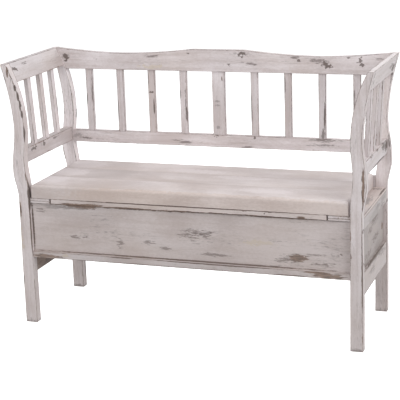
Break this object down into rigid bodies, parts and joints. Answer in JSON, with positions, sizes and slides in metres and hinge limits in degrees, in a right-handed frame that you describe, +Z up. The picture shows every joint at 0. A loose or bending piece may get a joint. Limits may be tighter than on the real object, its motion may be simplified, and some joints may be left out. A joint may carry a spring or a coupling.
{
  "type": "storage bench",
  "caption": "Wooden storage bench with a slatted back, outward-curving slatted arms and a hinged plank seat that opens over a panelled box.",
  "frame": {"origin": "on the floor, below the middle of the bench between its four legs", "axes": "+X along the bench to its right as seen from behind the origin looking along +Y, -Y out of the front, +Z up"},
  "size_m": [1.206, 0.407, 0.866],
  "materials": {
    "frame_wood": "whitewashed, rubbed through at the edges",
    "panel_wood": "thin grey-white wash",
    "lid_wood": "whitewashed and sanded smooth",
    "raw_wood": "bare softwood",
    "dowel_wood": "bare beech",
    "steel": "zinc plated, dull"
  },
  "bodies": {
    "frame": {"post_front_left": "frame_wood", "post_front_right": "frame_wood", "post_rear_left": "frame_wood", "post_rear_right": "frame_wood", "arm_top_rail_left": "frame_wood", "arm_top_rail_right": "frame_wood", "arm_lower_rail_left": "frame_wood", "arm_lower_rail_right": "frame_wood", "arm_slat_left_1": "frame_wood", "arm_slat_left_2": "frame_wood", "arm_slat_left_3": "frame_wood", "arm_slat_right_1": "frame_wood", "arm_slat_right_2": "frame_wood", "arm_slat_right_3": "frame_wood", "crest_rail": "frame_wood", "back_lower_rail": "frame_wood", "back_slat_1": "frame_wood", "back_slat_2": "frame_wood", "back_slat_3": "frame_wood", "back_slat_4": "frame_wood", "back_slat_centre": "frame_wood", "back_slat_6": "frame_wood", "back_slat_7": "frame_wood", "back_slat_8": "frame_wood", "back_slat_9": "frame_wood", "front_panel": "panel_wood", "rear_panel": "panel_wood", "side_panel_left": "panel_wood", "side_panel_right": "panel_wood", "side_top_rail_left": "frame_wood", "side_top_rail_right": "frame_wood", "side_bottom_rail_left": "frame_wood", "side_bottom_rail_right": "frame_wood", "front_bottom_rail": "frame_wood", "rear_bottom_rail": "frame_wood", "hinge_rail": "frame_wood", "deck_board_left": "frame_wood", "deck_board_right": "frame_wood", "front_block_left": "frame_wood", "front_block_right": "frame_wood", "floor_bearer_left": "raw_wood", "floor_bearer_right": "raw_wood", "floor_board_front": "raw_wood", "floor_board_middle": "raw_wood", "floor_board_rear": "raw_wood", "frame_bolts": "steel", "barrel_nuts": "steel", "rail_dowels": "dowel_wood", "hinge_rail_leaves": "steel", "hinge_pins": "steel", "hinge_rail_screws": "steel"},
    "lid": {"lid_plank_front": "lid_wood", "lid_plank_middle": "lid_wood", "lid_plank_rear": "lid_wood", "lid_front_batten": "frame_wood", "lid_cross_batten_left": "raw_wood", "lid_cross_batten_right": "raw_wood", "lid_screws": "steel", "hinge_lid_leaves": "steel", "hinge_lid_screws": "steel"}
  },
  "joints": [
    {"name": "lid_hinge", "type": "hinge", "parent": "frame", "child": "lid", "pos_m": [0, 0.17225, 0.4695], "axis": [-1, 0, 0], "range_deg": [0, 90]}
  ]
}
